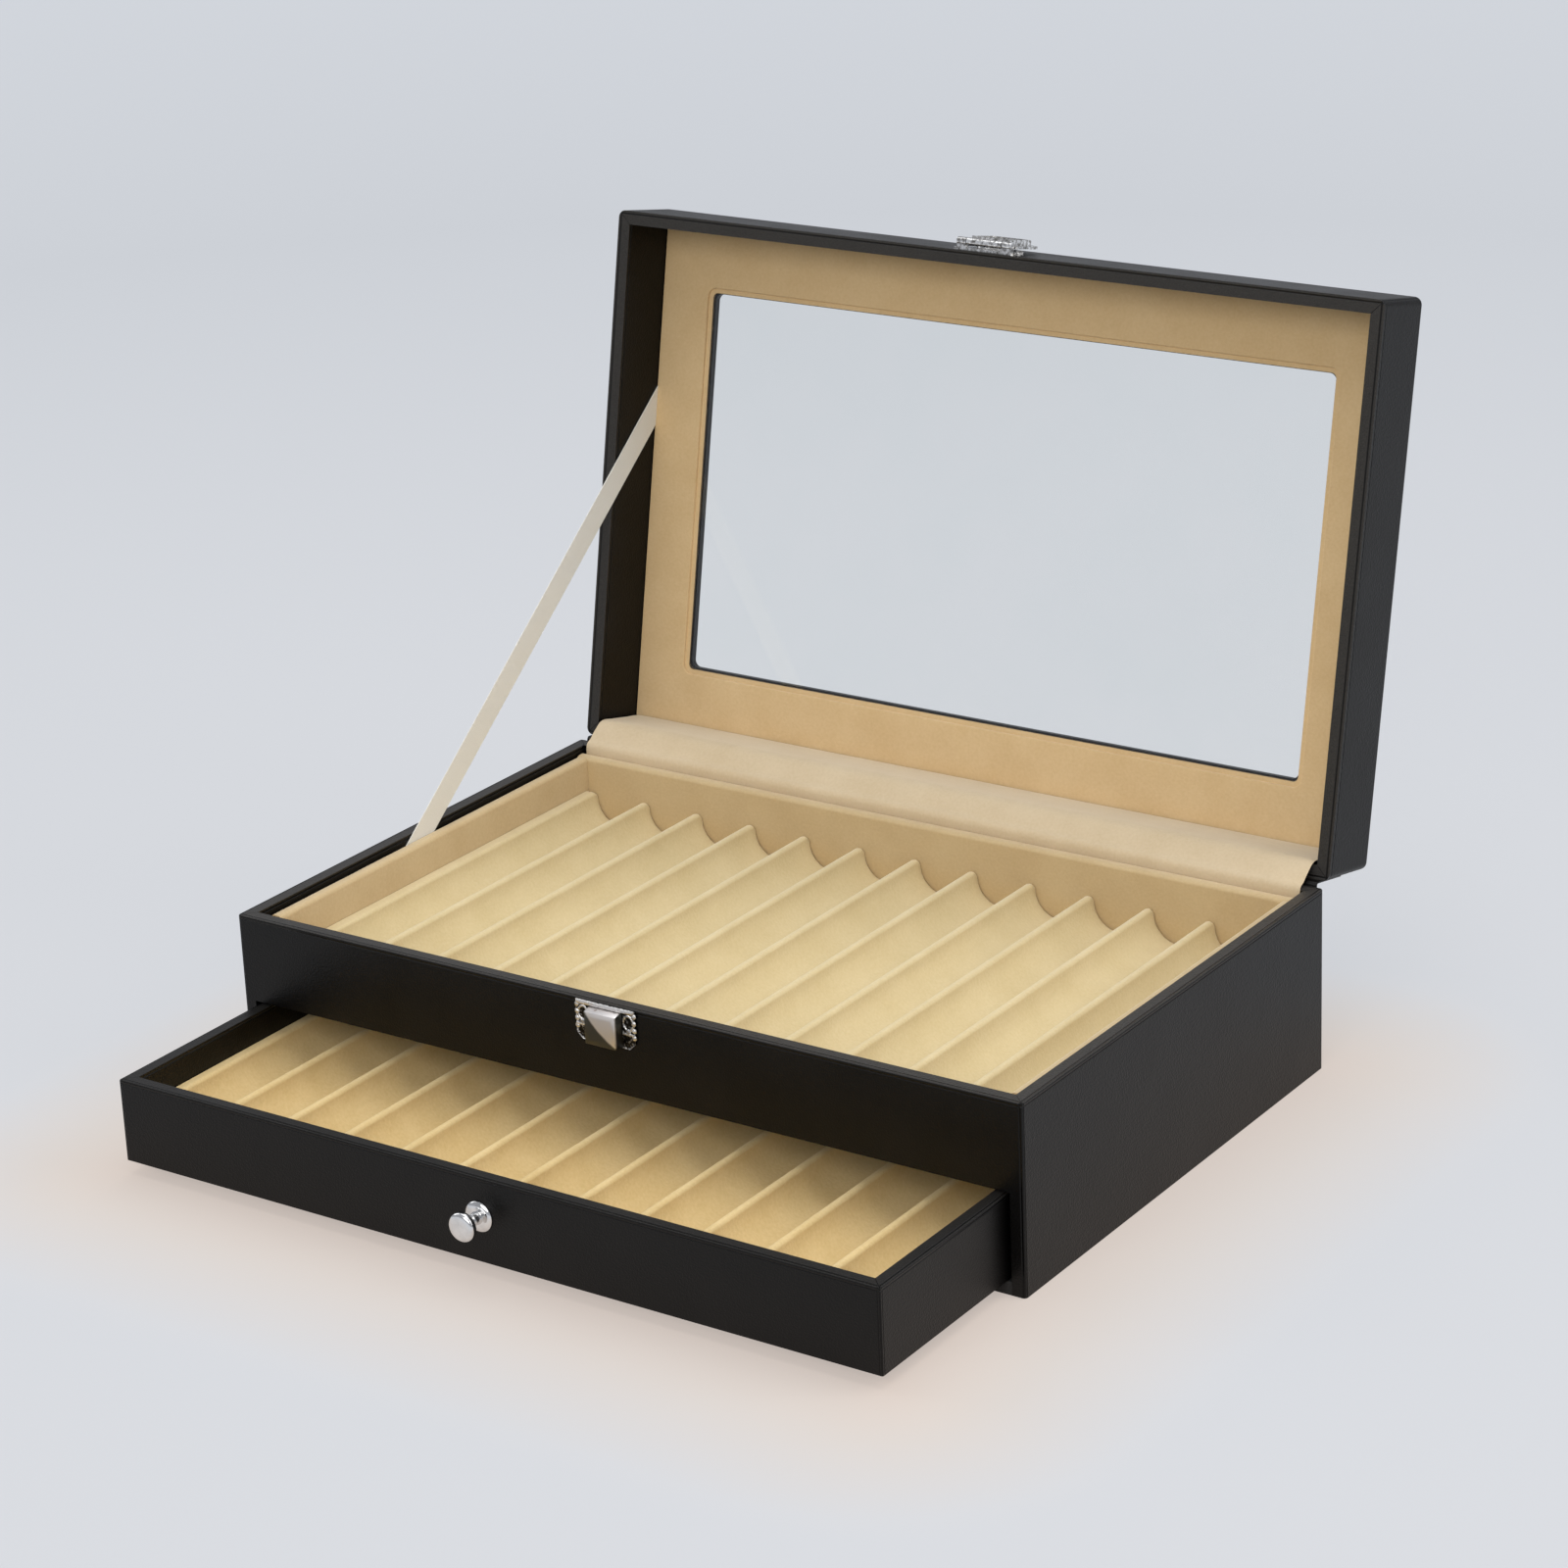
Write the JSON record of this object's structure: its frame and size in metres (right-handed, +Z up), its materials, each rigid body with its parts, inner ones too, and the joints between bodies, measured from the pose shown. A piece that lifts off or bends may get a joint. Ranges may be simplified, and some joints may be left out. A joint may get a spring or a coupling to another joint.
{
  "type": "pen collector chest",
  "caption": "Glass-topped display chest for pens: a hinged lid on a ribbon stay over a fluted velvet tray, and a pull-out drawer with a second tray",
  "frame": {"origin": "middle of the case's underside, on the surface it stands on", "axes": "+X to the right of someone facing the drawer, +Y from the front to the back, +Z up"},
  "size_m": [0.34, 0.3785, 0.2872],
  "materials": {
    "leathercloth": "black grained leathercloth, satin",
    "velvet": "beige velvet, short nap",
    "satin_ribbon": "cream satin ribbon",
    "window_glass": "clear polished glass",
    "antique_nickel": "stamped, antiqued nickel plate",
    "steel": "bright steel",
    "knob_chrome": "polished chrome plate",
    "dark_panel": "fibreboard papered black",
    "board": "fibreboard, unfinished under the covering"
  },
  "bodies": {
    "case": {"case_left_wall": "board", "case_right_wall": "board", "case_back_wall": "board", "case_front_rail": "board", "case_bottom_panel": "dark_panel", "case_covering": "leathercloth", "tray_deck": "dark_panel", "liner_left": "velvet", "liner_right": "velvet", "liner_front": "velvet", "liner_back": "velvet", "upper_pen_tray": "velvet", "catch_plate": "antique_nickel", "catch_block": "antique_nickel", "catch_nails": "steel", "hinge_spine": "leathercloth", "hinge_lining": "velvet", "ribbon_stay": "satin_ribbon"},
    "lid": {"lid_left_wall": "board", "lid_right_wall": "board", "lid_front_wall": "board", "lid_back_wall": "board", "lid_top_frame": "board", "lid_covering": "leathercloth", "glass_pane": "window_glass", "velvet_mat": "velvet", "hasp_plate": "antique_nickel", "hasp_nails": "steel", "hasp_pin": "steel"},
    "drawer": {"drawer_front": "board", "drawer_left_side": "board", "drawer_right_side": "board", "drawer_back": "board", "drawer_bottom": "dark_panel", "drawer_covering": "leathercloth", "drawer_pen_tray": "velvet", "knob_rosette": "knob_chrome", "knob": "knob_chrome", "knob_screw": "steel"},
    "hasp": {"hasp_flap": "antique_nickel"}
  },
  "joints": [
    {"name": "lid_hinge", "type": "hinge", "parent": "case", "child": "lid", "pos_m": [0, 0.1093, 0.071], "axis": [1, 0, 0], "range_deg": [0, 101.2], "deforming": ["hinge_spine", "hinge_lining", "ribbon_stay"]},
    {"name": "drawer_slide", "type": "slide", "parent": "case", "child": "drawer", "axis": [0, -1, 0], "range_m": [-0.0772, 0.075]},
    {"name": "hasp_hinge", "type": "hinge", "parent": "lid", "child": "hasp", "pos_m": [0, 0.1559, 0.28574], "axis": [1, 0, 0], "range_deg": [0, 181.5]}
  ]
}
